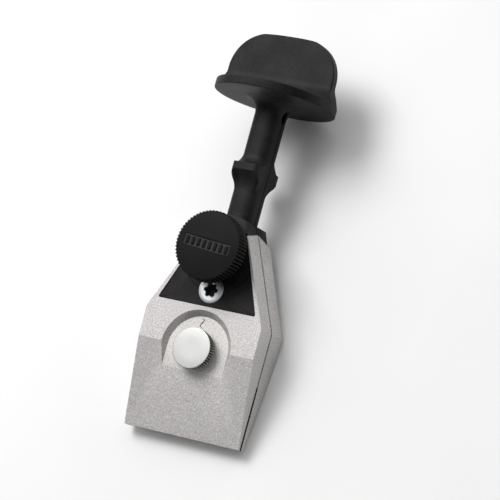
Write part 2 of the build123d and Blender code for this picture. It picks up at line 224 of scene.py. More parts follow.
def grained(tree, settings, tone, rough, grain, height, strength, depth):
    """Finish whose roughness runs between two values with a grain, over a bump map of a height."""
    low, high = rough
    dull = add(tree, "ShaderNodeMapRange", {"To Min": low, "To Max": high}, {"Value": grain})
    bump = add(tree, "ShaderNodeBump", {"Strength": strength, "Distance": depth * MM},
               {"Height": height})
    finish(tree, settings, tone, Roughness=dull.outputs[0], Normal=bump.outputs[0])


# %% [markdown]
# ### Bead-blasted zinc
#
# The jaws are zinc die castings. Blasting with fine beads leaves a dull, sparkling skin: tiny
# dents that catch the light one by one, on a metal that is a little warm in tone. The dents
# are about 0.5 mm here, coarser than real ones, so that they show at this distance. The same
# finish in a brighter, smoother mix goes on the bevels, a painted highlight along the edges.
# The floor of the dish has a slightly lighter mix, painted light that offsets the shade of its
# walls and the knob.

# %% Zinc
BEAD = 0.5  # width of a dent, in millimetres
FLOW = 14  # width of a flow mark
DENT_SHARE = 0.9  # how much of the tone comes from the dents


def blasted_zinc(name, dark, middle, light, rough, metallic):
    """Dull metal with bead dents in its height and its tone, and faint casting flow marks."""
    made, tree = material(name)
    dents = noise(tree, BEAD, 3.0, 0.6)
    mixed = mix(tree, DENT_SHARE, dents, noise(tree, FLOW, 2.0))
    tone = ramp(tree, mixed, [(0.32, dark), (0.5, middle), (0.68, light)])
    grained(tree, {"Metallic": metallic}, tone, (rough - 0.08, rough + 0.1), dents, dents, 0.35, 0.05)
    return made


zinc = blasted_zinc("bead_blasted_zinc", "#aba8a7", "#c6c3c2", "#e0dedd", 0.58, 0.5)
# A lighter zinc mix for the dish floor: painted light that offsets the shade of its walls and the knob.
painted_light_dish_zinc = blasted_zinc("zinc_painted_lighter_in_the_dish", "#b6b3b1", "#d2cfcd", "#e9e7e5", 0.58, 0.5)
# A brighter, smoother zinc mix for the bevels: a painted highlight along the edges.
painted_highlight_zinc = blasted_zinc("zinc_with_painted_edge_highlight", "#cfcdcb", "#dedcdb", "#efeeed", 0.4, 0.7)

# %% [markdown]
# ### Glass-filled nylon
#
# The handle is injection moulded in black nylon with glass fibre. The mould is lightly
# spark-eroded, so the skin is a soft charcoal with a fine grain and wide, dim highlights. The
# locking knob is the same family of plastic, darker and a little rougher.

# %% Moulded black plastics
CLOUD = 9  # width of the soft patches where the plastic is lighter


def moulded_black(name, dark, light, rough, grain, depth):
    """Black plastic with a spark-eroded grain this many millimetres wide."""
    made, tree = material(name)
    fine = noise(tree, grain, 2.0, 0.65)
    tone = ramp(tree, mix(tree, 0.5, fine, noise(tree, CLOUD, 3.0)), [(0.4, dark), (0.6, light)])
    grained(tree, {"IOR": 1.5, "Specular IOR Level": 0.16}, tone,
            (rough - 0.06, rough + 0.08), fine, fine, 0.3, depth)
    return made


nylon = moulded_black("glass_filled_nylon", "#0b0b0c", "#252426", 0.52, 0.5, 0.06)
knob_plastic = moulded_black("matt_black_knob_plastic", "#050505", "#101011", 0.62, 0.5, 0.06)
satin = moulded_black("satin_black_knob_panel", "#242425", "#343435", 0.42, 0.45, 0.02)
rubber = moulded_black("black_grip_rubber", "#0b0b0b", "#141414", 0.75, 0.4, 0.05)

# %% [markdown]
# ### Bright metals
#
# The adjusting knob is steel, turned and nickel plated: nearly white, with the lathe's fine
# rings on its face. Its knurled side takes a dark mix, a painted shade. The jaw screws are
# zinc plated, a touch bluer and smoother. The bush that the locking screw runs in is brass.

# %% Turned, plated and machined metals
RING_SCALE = 0.314  # a wave texture of this scale repeats once in each metre
SPECK = 0.5  # width of the specks, in millimetres


def turned_metal(name, dark, light, rough, centre, ring):
    """Metal with lathe rings this many millimetres apart round an axis along Z."""
    made, tree = material(name)
    moved = add(tree, "ShaderNodeMapping", {"Location": (0, -centre * MM, 0)}, {"Vector": place(tree)})
    rings = add(tree, "ShaderNodeTexWave",
                {"wave_type": "RINGS", "rings_direction": "Z", "Scale": RING_SCALE / (ring * MM),
                 "Distortion": 0.6, "Detail": 2.0, "Detail Scale": 1.5},
                {"Vector": moved.outputs[0]})
    specks = noise(tree, SPECK, 2.0)
    tone = ramp(tree, mix(tree, 0.5, rings.outputs["Fac"], specks), [(0.2, dark), (0.8, light)])
    grained(tree, {"Metallic": 1.0}, tone, (rough - 0.05, rough + 0.08), specks,
            rings.outputs["Fac"], 0.12, 0.02)
    return made


nickel = turned_metal("turned_nickel_plate", "#a9a9a8", "#cfcfce", 0.5, adjust_y, 0.35)
plated = turned_metal("bright_zinc_plate", "#a9abae", "#d3d5d8", 0.4, screw_y, 0.4)
# A dark nickel mix for the knurled side of the adjusting knob: a painted shade.
painted_shade_nickel = turned_metal("nickel_with_painted_shade_on_the_knurl", "#3a3a3a", "#6e6e6d", 0.55, adjust_y, 0.2)
steel = turned_metal("machined_steel", "#8f9092", "#b9babc", 0.35, lock_y, 0.3)
brass = turned_metal("machined_brass", "#a8853e", "#cfae62", 0.3, lock_y, 0.3)

# %% [markdown]
# ## The handle's arms
#
# The lower handle is a bar, slit down the middle. Its front is rounded, but a finger flange
# stands out of it with flat sides and a flat front. The hollows above and below the flange
# are round fillets, so the fingers slide up against it. That is how the shape is made here
# too: at every height the outline is the nearer of two curves, seen from the middle of the
# slit. One is the flange, nearly a rectangle. The other is the rounded arm, grown by the fillet.
# Where they meet there is a crisp arch below the flange and a small shelf above it.
#
# The top of the bar flares into the stop disc, and the slit ends in an oval relief slot. The
# real arms bend there. Each arm is one skin, from its own arm below the slot up into the head
# above it.

# %% Sizes along the arm
SPLIT = JAW_LOW[2]
NECK_END = -TIP  # reach of the stop disc's underside, at the frame's origin
ARM_START, HOLLOW_START, ARM_PLAIN = 74.0, 84.0, 103.2  # hidden end, and where the hollows lie
FLARE_R = 5.6
SLOT_LOW, SLOT_HIGH, SLOT_HALF = NECK_END - 7.1, NECK_END - 2.5, 1.3
ARM_HALF, ARM_CREST, ARM_POWER = 5.15, 5.3, 2.7
FLANGE_LOW, FLANGE_HIGH = 92.95, 95.45
FLANGE_HALF, FLANGE_FRONT, FLANGE_POWER = 5.3, 9.0, 7
UPPER_R, UPPER_RUN = 5.2, 4.2  # each hollow's radius, and how far from the flange it starts
LOWER_R, LOWER_RUN = 8.0, 6.4  # in front
SIDE_R, SIDE_RUN = 5.0, 4.6  # the lower hollow at the sides
SIDE_LEAD = 1.7  # how much sooner the lower hollow starts beside the front
LEAD_ANGLE, LEAD_WIDTH = 0.85, 0.27  # where round the arm it does so, in radians from the side
CRISP = 14  # sharpness of the edge where arm and flange meet, per mm
CIRCLE_END = 0.98  # part of a hollow's circle that is used, so it stays finite


def hollow_rise(reach, angle):
    """Growth of the arm towards the flange: a circle's arc above it, and one below it.

    The lower arc is wider in front than at the sides. Between the two it leads by a bell curve
    over the angle, so that its edge on the flange is an arch.
    """
    from_side = np.minimum(angle, np.pi - angle)
    lead = SIDE_LEAD * np.exp(-((from_side - LEAD_ANGLE) / LEAD_WIDTH) ** 2)
    front = smooth(0.5, 0.9, from_side)
    radius = SIDE_R + (LOWER_R - SIDE_R) * front
    run = SIDE_RUN + (LOWER_RUN - SIDE_RUN) * front
    above = np.clip(FLANGE_HIGH + UPPER_RUN - reach, 0, UPPER_R * CIRCLE_END)
    below = np.clip(reach + lead - (FLANGE_LOW - run), 0, radius * CIRCLE_END)
    upper = UPPER_R - np.sqrt(UPPER_R ** 2 - above ** 2)
    lower = radius - np.sqrt(radius ** 2 - below ** 2)
    on_flange = (reach > FLANGE_LOW) & (reach <= FLANGE_HIGH)
    return np.where(on_flange, 2 * FLANGE_FRONT, np.where(reach > FLANGE_HIGH, upper, lower))


def slit_face(reach):
    """Height of the arm's inner face: the slit, then the oval slot, then none above it."""
    across = (reach - (SLOT_LOW + SLOT_HIGH) / 2) / ((SLOT_HIGH - SLOT_LOW) / 2)
    oval = SLOT_HALF * np.sqrt(np.clip(1 - across ** 2, 0, 1))
    return np.where(reach > SLOT_HIGH, 0.0, np.maximum(oval, np.where(across > 0, 0.0, SPLIT)))


def superellipse(angle, half, crest, power):
    """Distance from the centre to a superellipse, at an angle.

    Cosine and sine, each divided by its half size, are raised to a power and added. The
    distance is one over that sum's root of the same power.
    """
    across = np.abs(np.cos(angle)) / half
    out = np.abs(np.sin(angle)) / crest
    return (across ** power + out ** power) ** (-1 / power)


def nearer(one, other, crispness):
    """Soft minimum of two distances; a high crispness, per millimetre, leaves a sharp edge."""
    return -np.log(np.exp(-crispness * one) + np.exp(-crispness * other)) / crispness


# %% The arm as a function of reach and angle
def arm_outline(reach, angle):
    """Distance from the middle of the slit to the skin, at each reach and angle.

    The arm and the flange are superellipses, and the flare adds a quarter circle at the top.
    """
    rounded = superellipse(angle, ARM_HALF, ARM_CREST, ARM_POWER)
    flange = superellipse(angle, FLANGE_HALF, FLANGE_FRONT, FLANGE_POWER)
    arm = nearer(flange, rounded + hollow_rise(reach, angle), CRISP)
    lift = np.clip(reach - (NECK_END - FLARE_R), 0, FLARE_R)
    flare = FLARE_R - np.sqrt(FLARE_R ** 2 - lift ** 2)
    return arm + flare


def arm_points():
    """Grid of the front arm: rows up the arm, columns over its front from one side to the other."""
    reach = np.concatenate([
        np.linspace(ARM_START, HOLLOW_START, 12),
        np.linspace(HOLLOW_START + 0.3, FLANGE_LOW - 0.02, 72),
        [FLANGE_LOW + 0.02, FLANGE_LOW + 0.2],
        np.linspace(FLANGE_LOW + 0.6, FLANGE_HIGH - 0.2, 5),
        [FLANGE_HIGH - 0.01, FLANGE_HIGH + 0.01],
        np.linspace(FLANGE_HIGH + 0.1, FLANGE_HIGH + 7.2, 64),
        np.linspace(ARM_PLAIN, SLOT_LOW - 0.2, 16),
        np.linspace(SLOT_LOW, SLOT_HIGH, 46),
        np.linspace(SLOT_HIGH + 0.1, NECK_END - 0.02, 22),
        [NECK_END + 0.3],
    ])[:, None]
    angle = (np.pi / 2 - np.linspace(-1, 1, 221) * (np.pi / 2))[None, :]
    out = arm_outline(reach, angle)
    x = out * np.cos(angle)
    z = np.maximum(out * np.sin(angle), slit_face(reach))
    return np.stack([x, up(reach) + 0 * x, z], -1)


front_skin = arm_points()
front_arm = loft("front_handle_arm_skin", front_skin, sharp=30)
rear_arm = loft("rear_handle_arm_skin", mirrored(front_skin), sharp=30)

# %% [markdown]
# ## The stop disc and thumb tab
#
# Seen end on, every slice across the head is a circle that two flats have cut down: none at
# the disc, and nearly all of it at the tab. So one function gives the slice for any size of
# circle, flat and tab, with a small round where they meet. Sweeping those sizes up the head
# gives the rim, its ledge, the scoop into the tab and the tab's rounded top in one skin.

# %% A slice across the head
def head_slice(circle, flat, side, edge, steps=(26, 8, 34)):
    """Quarter of a slice, from the middle of its flat round to the middle of its side.

    The corner lies where the flat meets the nearer of the circle and the tab's side. The flat
    runs to one edge radius short of it, a quarter round turns it, and the side goes on down.
    """
    def reach_at(z):
        return np.minimum(side, np.sqrt(np.maximum(circle ** 2 - z ** 2, 0)))

    edge = np.minimum(np.minimum(edge, flat), reach_at(flat))
    corner = reach_at(flat)
    along = np.linspace(0, 1, steps[0], endpoint=False)
    x_flat = (corner - edge) * along
    z_flat = flat + 0 * x_flat
    turn = np.linspace(0, np.pi / 2, steps[1], endpoint=False)
    bulge = reach_at(flat - edge) - corner
    x_turn = corner - edge + (edge + bulge) * np.sin(turn)
    z_turn = flat - edge + edge * np.cos(turn)
    fall = np.linspace(1, 0, steps[2])
    z_side = circle * np.sin(np.arcsin(np.clip((flat - edge) / circle, 0, 1)) * fall)
    x_side = reach_at(z_side)
    return np.concatenate([x_flat, x_turn, x_side], 1), np.concatenate([z_flat, z_turn, z_side], 1)


def whole_slice(x, z):
    """Mirror quarter slices into closed loops."""
    x_half = np.concatenate([x, x[:, -2::-1]], 1)
    z_half = np.concatenate([z, -z[:, -2::-1]], 1)
    return (np.concatenate([x_half, -x_half[:, -2:0:-1]], 1),
            np.concatenate([z_half, z_half[:, -2:0:-1]], 1))


# %% The sizes swept up the head
DISC_R = HEAD_HIGH[2]
RIM = 3.2
TAB_TOP = HEAD_HIGH[1]
TAB_SIDE = 20.6
TAB_HALF = 1.75
TAB_CORNER = 14.4
TOP_ROUND = 0.7
SCOOP_R = 5.6
EDGE = 0.35  # round on the rim's edges
TAB_FLARE = 0.95  # how much wider the tab is where it stands on the disc
FLARE_UP = 5.5  # how far up that widening fades out
CROWN_POWER = 0.92  # under 1, the tab's rounded corners are a little fuller
FLAT_TOP = 0.965  # part of the crown's height at which its flat top begins


def head_points():
    """Grid of the disc and tab, from the middle of the underside to the top of the tab.

    Rows come in six runs: the flat underside, the rim's lower round, its upper round, the
    ledge, the scoop and the tab. The upper round fades out where the tab's sides stand on it.
    """
    quarter = np.linspace(0, np.pi / 2, 7)
    under = np.linspace(2, DISC_R - EDGE, 8)
    ledge = np.linspace(DISC_R - 0.02, TAB_HALF + SCOOP_R, 16)
    rise = np.linspace(0, np.pi / 2, 26)[1:]
    scoop_y = RIM + SCOOP_R * (1 - np.cos(rise))
    shoulder = TAB_TOP - TAB_CORNER
    climb = np.linspace(scoop_y[-1], shoulder, 4)[1:]
    swing = np.linspace(0, np.pi / 2, 60)[1:]
    crown = np.sin(swing) ** CROWN_POWER
    top_y = shoulder + TAB_CORNER * crown
    flat_run = np.clip(1 - np.maximum(crown - FLAT_TOP, 0) / (1 - FLAT_TOP), 0, 1) ** 0.5
    top_side = (TAB_SIDE - TAB_CORNER) * flat_run + TAB_CORNER * np.cos(swing)
    depth = np.clip(TAB_TOP - top_y, 0, TOP_ROUND)
    top_flat = TAB_HALF - TOP_ROUND + np.sqrt(TOP_ROUND ** 2 - (TOP_ROUND - depth) ** 2)

    full = np.full
    lower_r = DISC_R - EDGE + EDGE * np.sin(quarter)
    y = np.concatenate([0 * under, EDGE * (1 - np.cos(quarter)), RIM - EDGE * (1 - np.sin(quarter)),
                        0 * ledge + RIM, scoop_y, climb, top_y])
    above = len(y) - len(under) - len(quarter)
    circle = np.concatenate([under, lower_r, full(above, DISC_R)])
    scoop_z = TAB_HALF + SCOOP_R * (1 - np.sin(rise))
    flat = np.concatenate([under, lower_r, full(len(quarter), DISC_R), ledge, scoop_z,
                           full(len(climb), TAB_HALF), top_flat])
    flared = TAB_SIDE + TAB_FLARE * (1 - smooth(RIM, RIM + FLARE_UP, scoop_y))
    free = full(len(y) - len(scoop_y) - len(climb) - len(top_y), 2 * DISC_R)
    side = np.concatenate([free, flared, full(len(climb), TAB_SIDE), np.maximum(top_side, 0.3)])
    edge = 0.05 + 0.45 * smooth(RIM, RIM + SCOOP_R, y)
    cut = np.concatenate([0 * under, 0 * lower_r, EDGE * (1 - np.cos(quarter)),
                          full(above - len(quarter), EDGE)])

    x, z = head_slice(circle[:, None], flat[:, None], side[:, None], edge[:, None])
    x, z = whole_slice(x, z)
    limit = DISC_R - cut[:, None] * smooth(TAB_HALF + SCOOP_R - 0.5, TAB_HALF + SCOOP_R + 0.5, np.abs(z))
    keep = np.minimum(1, limit / np.maximum(np.hypot(x, z), 0.1))
    return np.stack([x * keep, y[:, None] + 0 * x, z * keep], -1)


head = loft("stop_disc_and_thumb_tab", head_points(), sharp=32)

# %% [markdown]
# ## The foot of each arm
#
# The arm ends in a tapered foot that fills the jaw's pocket flush and stands up past its top.
# It is a plate with rounded edges: its outline is carried down a short edge profile. The face
# is a fan of rows from that outline in to the screw's hole, which leaves enough points to
# sink the shallow round recess under the locking knob.

# %% The foot's outline
FOOT_LOW, FOOT_TOP = 44.2, 75.8
FOOT_WIDE, FOOT_NARROW = 19.2, 6.1
FOOT_FACE, FOOT_TOP_Z, FOOT_BACK = 8.45, 8.0, 3.3
FOOT_CROWN = 1.2
FOOT_GAP = 0.14
FOOT_ROUND, FOOT_EDGE = 0.35, 0.22  # rounds of its corners and of its upper edge
RECESS_R, RECESS_DEPTH = 14.2, 0.25
HEAD_HOLE = SCREW_HIGH[0] + 0.12
HOLE_DEPTH = 2.4


def round_corners(corners, radius, steps=9):
    """Closed outline through corners, each replaced by a quarter-like curve of about this radius.

    Each round is a quadratic curve between points one radius back along the two sides.
    """
    corners = np.array(corners, float)
    back = np.roll(corners, 1, 0) - corners
    ahead = np.roll(corners, -1, 0) - corners
    start = corners + back / np.linalg.norm(back, axis=1, keepdims=True) * radius
    end = corners + ahead / np.linalg.norm(ahead, axis=1, keepdims=True) * radius
    t = np.linspace(0, 1, steps)[None, :, None]
    curve = (1 - t) ** 2 * start[:, None] + 2 * t * (1 - t) * corners[:, None] + t ** 2 * end[:, None]
    return curve.reshape(-1, 2)


def resample(outline, count):
    """Points evenly spaced along a closed outline."""
    loop = np.vstack([outline, outline[:1]])
    length = np.concatenate([[0], np.cumsum(np.linalg.norm(np.diff(loop, axis=0), axis=1))])
    at = np.linspace(0, length[-1], count, endpoint=False)
    return np.stack([np.interp(at, length, loop[:, 0]), np.interp(at, length, loop[:, 1])], -1)


def inset(outline, distance):
    """Move a closed outline, listed anticlockwise, inwards by a distance along its normals."""
    along = np.roll(outline, -1, 0) - np.roll(outline, 1, 0)
    along = along / np.linalg.norm(along, axis=1, keepdims=True)
    return outline + distance * np.stack([-along[:, 1], along[:, 0]], -1)


# %% The foot as a grid
def foot_points():
    """Rows from the back of the foot, round its edge and across its face to the screw hole."""
    crown = np.linspace(-1, 1, 15)
    top = np.stack([-FOOT_NARROW * crown, up(FOOT_TOP) + FOOT_CROWN * (1 - crown ** 2)], -1)
    outline = np.vstack([[[-FOOT_WIDE, up(FOOT_LOW)], [FOOT_WIDE, up(FOOT_LOW)]], top])
    outline = inset(resample(round_corners(outline, FOOT_ROUND, 4), 520), FOOT_GAP)
    centre = np.array([0, screw_y])
    angle = np.arctan2(*(outline - centre).T[::-1])
    hole = centre + HEAD_HOLE * np.stack([np.cos(angle), np.sin(angle)], -1)

    turn = np.linspace(0, np.pi / 2, 5)
    edge_in = FOOT_EDGE * (1 - np.cos(turn))
    edge_down = FOOT_EDGE * (1 - np.sin(turn))
    blend = np.linspace(0, 1, 150)[1:, None, None]
    face = inset(outline, edge_in[-1])[None] * (1 - blend) + hole[None] * blend
    rim = np.stack([inset(outline, distance) for distance in edge_in])
    plan = np.concatenate([outline[None], rim, face, hole[None]])
    drop = np.concatenate([[FOOT_FACE - FOOT_BACK], edge_down, np.zeros(len(face)), [HOLE_DEPTH]])
    from_lock = np.hypot(plan[..., 0], plan[..., 1] - lock_y)
    sunk = RECESS_DEPTH * smooth(RECESS_R, RECESS_R - 0.3, from_lock)
    sunk[0] = 0
    sunk[-1] = 0
    proud = (FOOT_FACE - FOOT_TOP_Z) * smooth(up(66), up(76), plan[..., 1])
    z = FOOT_FACE - drop[:, None] - sunk - proud * (drop[:, None] < 1)
    return np.concatenate([plan, z[..., None]], -1)


front_foot_skin = foot_points()
front_foot = loft("front_foot_plate", front_foot_skin, sharp=28)
rear_foot = loft("rear_foot_plate", mirrored(front_foot_skin), sharp=28)

# %% The wing of the foot, between the plate and the slit
WING_BACK_LOW, WING_FRONT_LOW, WING_STEP_Z = 73.0, 70.9, 3.5
FOOT_TAPER = 0.4146  # growth of the half width for each millimetre down the foot
WING_LEAN = 0.5  # how much lower its top is at the slit than at the face


def wing_points():
    """Block above the jaw: rows across the tool's depth, each a rounded plan outline."""
    depth = np.array([SPLIT, SPLIT, SPLIT + 0.2, 4.0,
                      FOOT_TOP_Z - 0.25, FOOT_TOP_Z - 0.06, FOOT_TOP_Z - 0.02])
    shrink = np.array([0.25, 0.2, 0.0, 0.0, 0.0, 0.12, 0.3])
    rows = []
    for z, less in zip(depth, shrink):
        top_y = up(FOOT_TOP) - WING_LEAN * (1 - z / FOOT_TOP_Z)
        foot_low = up(WING_BACK_LOW if z < WING_STEP_Z else WING_FRONT_LOW)
        side = FOOT_NARROW + (up(FOOT_TOP) - foot_low) * FOOT_TAPER
        crown = np.linspace(-1, 1, 25)
        top = np.stack([-FOOT_NARROW * crown, top_y + FOOT_CROWN * (1 - crown ** 2)], -1)
        outline = np.vstack([[[-side, foot_low], [side, foot_low]], top])
        plan = inset(resample(outline, 160), FOOT_GAP + less)
        rows.append(np.column_stack([plan, np.full(len(plan), z)]))
    return np.array(rows)


front_wing_skin = wing_points()
front_wing = loft("front_foot_wing", front_wing_skin, sharp=28)
rear_wing = loft("rear_foot_wing", mirrored(front_wing_skin), sharp=28)

# %% [markdown]
# ## Jaws and small fittings from the CAD
#
# The jaws are exact prismatic castings, so the CAD already holds their shape. A copy of each
# is merged into one skin, its flat areas are joined into whole faces, and a small bevel gives
# the rounded edges that blasting leaves. Those edges are what catches the light, and on the
# jaws they take a second material, a brighter mix that is a painted highlight. The two jaws
# meet along a parting line, which is opened a little so that it reads as a dark line.

# %% Bevelled copies of CAD nodes
SEAM_OPEN = 0.24  # on each side of the parting line
JAW_BEVEL = 0.25
PAD_BEVEL = 0.08
RIDGE_SMOOTH = 10.5  # less than the angle of the jaw's ridge, which stays sharp


def bevelled(node, width, finish_material, smooth_to=30, edge_material=None):
    """Copy a CAD node, join its flat areas and give its edges a small round.

    Faces that meet at less than smooth_to degrees are facets of one curve, so they shade as one.
    With an edge material, the bevels take it and the parting line is opened.
    """
    mesh = nodes[node].data.copy()
    mesh.name = node + "_bevelled"
    shell = bmesh.new()
    shell.from_mesh(mesh)
    bmesh.ops.remove_doubles(shell, verts=shell.verts, dist=0.002 * MM)
    bmesh.ops.dissolve_limit(shell, angle_limit=math.radians(0.6),
                             verts=shell.verts, edges=shell.edges)
    bmesh.ops.recalc_face_normals(shell, faces=shell.faces)
    if edge_material is not None:
        for vert in shell.verts:
            if abs(vert.co.z) < (SPLIT + 0.02) * MM:
                vert.co.z += math.copysign(SEAM_OPEN * MM, vert.co.z)
    shell.to_mesh(mesh)
    shell.free()
    mesh.materials.clear()
    mesh.materials.append(finish_material)
    mesh.shade_smooth()
    mesh.set_sharp_from_angle(angle=math.radians(smooth_to))
    piece = bpy.data.objects.new(node + "_bevelled", mesh)
    bpy.context.scene.collection.objects.link(piece)
    bevel = piece.modifiers.new("edge_round", "BEVEL")
    bevel.width = width * MM
    bevel.segments = 2
    bevel.limit_method = "ANGLE"
    bevel.angle_limit = math.radians(30)
    bevel.harden_normals = True
    if edge_material is not None:
        mesh.materials.append(edge_material)
        bevel.material = 1
    print(piece.name, len(mesh.polygons), "faces before the bevel")
    return piece


# The jaws' bevels take the brighter zinc mix, a painted highlight along their edges.
front_jaw = bevelled("front_jaw", JAW_BEVEL, zinc, RIDGE_SMOOTH, painted_highlight_zinc)
rear_jaw = bevelled("rear_jaw", JAW_BEVEL, zinc, RIDGE_SMOOTH, painted_highlight_zinc)
front_pad = bevelled("front_jaw_pad", PAD_BEVEL, rubber)
rear_pad = bevelled("rear_jaw_pad", PAD_BEVEL, rubber)

# %% The floor of the dish, painted lighter
DISH_FLOOR = 6.45
# The flat floor of the front jaw's dish takes the lighter zinc mix, painted light against the shade
# there.
front_jaw.data.materials.append(painted_light_dish_zinc)
for face in front_jaw.data.polygons:
    if face.normal.z > 0.999 and abs(face.center.z / MM - DISH_FLOOR) < 0.05:
        face.material_index = 2
        print("dish floor of the front jaw", len(face.vertices), "corners")

# %% [markdown]
# ## The adjusting knob
#
# This knob is turned from bar and its rim is knurled: a wheel presses in rows of small teeth.
# The skin is a surface of revolution. On the rim its radius is the product of a wave round
# the knob and a wave along it, and it is smooth on the bevels and the face, where the lathe
# cut the knurl away. The teeth are coarser than real ones, so that they show.

# %% Spinning a profile
def turned(profile, centre_y, columns, ripple=None):
    """Spin a profile of (radius, height) rows round an axis along Z through centre_y.

    ripple(angle, row) is added to the radius, so a rim can carry teeth.
    """
    radius, height = np.array(profile, float).T
    angle = np.linspace(0, 2 * np.pi, columns, endpoint=False)[None, :]
    out = radius[:, None] + 0 * angle
    if ripple is not None:
        out = out + ripple(angle, np.arange(len(radius))[:, None])
    z = height[:, None] + 0 * out
    return np.stack([out * np.cos(angle), centre_y + out * np.sin(angle), z], -1)


# %% Knob profile and knurl
KNOB_R = (ADJUST_HIGH[0] - ADJUST_LOW[0]) / 2
KNOB_LOW, KNOB_TOP = ADJUST_LOW[2], ADJUST_HIGH[2]
KNOB_TEETH = 48
TOOTH_DEPTH = 0.6
TOOTH_PITCH = 0.95  # distance between notches along the knob
NOTCH = 0.55  # part of a tooth's height that a notch takes


def adjusting_knob_points():
    """Knob as a spun profile; on its rim the radius falls where either of two waves is low."""
    rim = np.linspace(KNOB_LOW + 0.45, KNOB_TOP - 0.25, 31)
    foot = [(1.0, KNOB_LOW), (KNOB_R - 0.75, KNOB_LOW), (KNOB_R - 0.35, KNOB_LOW + 0.25)]
    face = [(KNOB_R - 0.06, KNOB_TOP - 0.12), (KNOB_R - 0.2, KNOB_TOP - 0.02),
            (KNOB_R - 0.35, KNOB_TOP), (3.0, KNOB_TOP - 0.02), (0.8, KNOB_TOP - 0.03)]
    profile = np.vstack([foot, np.column_stack([KNOB_R + 0 * rim, rim]), face])

    def knurl(angle, row):
        """Straight teeth, each notched across at a steady pitch, like a coarse crossed knurl."""
        on_rim = (row >= len(foot)) & (row < len(foot) + len(rim))
        along = np.cos(angle * KNOB_TEETH / 2) ** 2
        notch = np.cos(np.pi * (profile[:, 1][:, None] - KNOB_LOW) / TOOTH_PITCH) ** 2
        return -TOOTH_DEPTH * on_rim * (1 - along * (1 - NOTCH + NOTCH * notch))

    return turned(profile, adjust_y, KNOB_TEETH * 8, knurl)


adjusting_knob = loft("adjusting_knob_turned", adjusting_knob_points(), sharp=35)
adjusting_knob.data.materials.append(nickel)
# Faces that look sideways, the knurled side, take the dark nickel mix: a painted shade.
adjusting_knob.data.materials.append(painted_shade_nickel)
for face in adjusting_knob.data.polygons:
    face.material_index = int(abs(face.normal.z) < 0.5)

# %% [markdown]
# ## The locking knob
#
# The big knob is moulded, with sixty ribs for wet fingers. Its face is slightly domed and
# carries a shallow rectangular panel, where such a knob has its moulded lettering. Here the
# panel holds a plain row of bars.
#
# The dome is a fan of rows that starts as the rim's circle and ends as the panel's outline.
# The same rows then step down the panel's wall and close over its floor. A thin plate of a
# smoother plastic lies on that floor, under the bars.

# %% Ribs, dome and panel
LOCK_R = (LOCK_HIGH[0] - LOCK_LOW[0]) / 2
LOCK_TOP = LOCK_HIGH[2]
LOCK_RIBS = 60
LOCK_COLUMNS = LOCK_RIBS * 10
DOME_R, DOME_DROP, DOME_POWER = LOCK_R - 0.9, 0.95, 2.2
HUB_R, HUB_LOW, RIM_UNDER = 7.6, 8.75, 12.8
PANEL_HALF = np.array([9.15, 2.05])
PANEL_TURN = math.radians(-4.7)
PANEL_FLOOR = LOCK_TOP - 0.72


def dome(radius):
    """Height of the knob's face at a distance from its axis."""
    return LOCK_TOP - DOME_DROP * np.clip(radius / DOME_R, 0, 1) ** DOME_POWER


def panel_edge(angle, less=0.0):
    """Distance from the axis to the panel's outline: a rectangle whose corners are softened."""
    half = PANEL_HALF - less
    along = np.abs(np.cos(angle - PANEL_TURN)) / half[0]
    side = np.abs(np.sin(angle - PANEL_TURN)) / half[1]
    return (along ** 24 + side ** 24) ** (-1 / 24)


def ribs(angle, row):
    """Narrow ribs with wide grooves, which fade out below and run up to the edge of the face."""
    depth = np.interp(row, [5, 6, 7, 8, 10.5, 11, 12], [0, 0.5, 0.85, 0.95, 0.95, 0.7, 0.5])
    wave = np.abs(np.cos(angle * LOCK_RIBS / 2)) ** 1.2
    return -depth * (1 - wave)


def locking_knob_points():
    """Hub, flat underside and ribbed rim as a spun profile, then the dome and its panel."""
    profile = [(1.0, HUB_LOW), (HUB_R - 0.1, HUB_LOW), (HUB_R, 8.9), (HUB_R, 12.4),
               (HUB_R + 0.3, RIM_UNDER - 0.05), (LOCK_R - 1.1, RIM_UNDER), (LOCK_R - 0.6, 12.95),
               (LOCK_R - 0.05, 13.5), (LOCK_R, 14.2), (LOCK_R, 16.0), (LOCK_R, 18.4),
               (LOCK_R, 19.0), (LOCK_R - 0.12, 19.22)]
    body = turned(profile, lock_y, LOCK_COLUMNS, ribs)
    angle = np.linspace(0, 2 * np.pi, LOCK_COLUMNS, endpoint=False)[None, :]
    inward = np.linspace(0, 1, 46)[:, None]
    edge = panel_edge(angle)
    face = DOME_R * (1 - inward) + edge * inward
    lip, foot = panel_edge(angle, 0.05), panel_edge(angle, 0.12)
    floor = foot * np.concatenate([[1.0], np.linspace(0.96, 0.04, 12)])[:, None]
    radius = np.concatenate([face, lip, floor])
    height = np.concatenate([dome(face), dome(edge) - 0.06, PANEL_FLOOR + 0 * floor])
    face_points = np.stack([radius * np.cos(angle), lock_y + radius * np.sin(angle), height], -1)
    return np.concatenate([body, face_points])


locking_knob = loft("locking_knob_moulded", locking_knob_points(), sharp=38)

# %% Plain bars in the panel
BAR_COUNT = 8
BAR_SIZE = np.array([0.55, 1.4])
BAR_TOP = PANEL_FLOOR + 0.42
END_MARGIN = 1.5  # from the panel's ends to the middle of the last bars


def bar_points():
    """Outlines of one bar, from its foot to its softened top, as a superellipse of power 6."""
    angle = np.linspace(0, 2 * np.pi, 32, endpoint=False)
    outline = np.stack([np.sign(np.cos(angle)) * np.abs(np.cos(angle)) ** (1 / 3),
                        np.sign(np.sin(angle)) * np.abs(np.sin(angle)) ** (1 / 3)], -1)
    shrink = np.array([1.0, 1.0, 0.95, 0.8, 0.3])
    height = np.array([PANEL_FLOOR - 0.1, BAR_TOP - 0.12, BAR_TOP - 0.04, BAR_TOP, BAR_TOP])
    plan = outline[None] * (BAR_SIZE * shrink[:, None])[:, None]
    return np.concatenate([plan, height[:, None, None] + 0 * plan[..., :1]], -1)


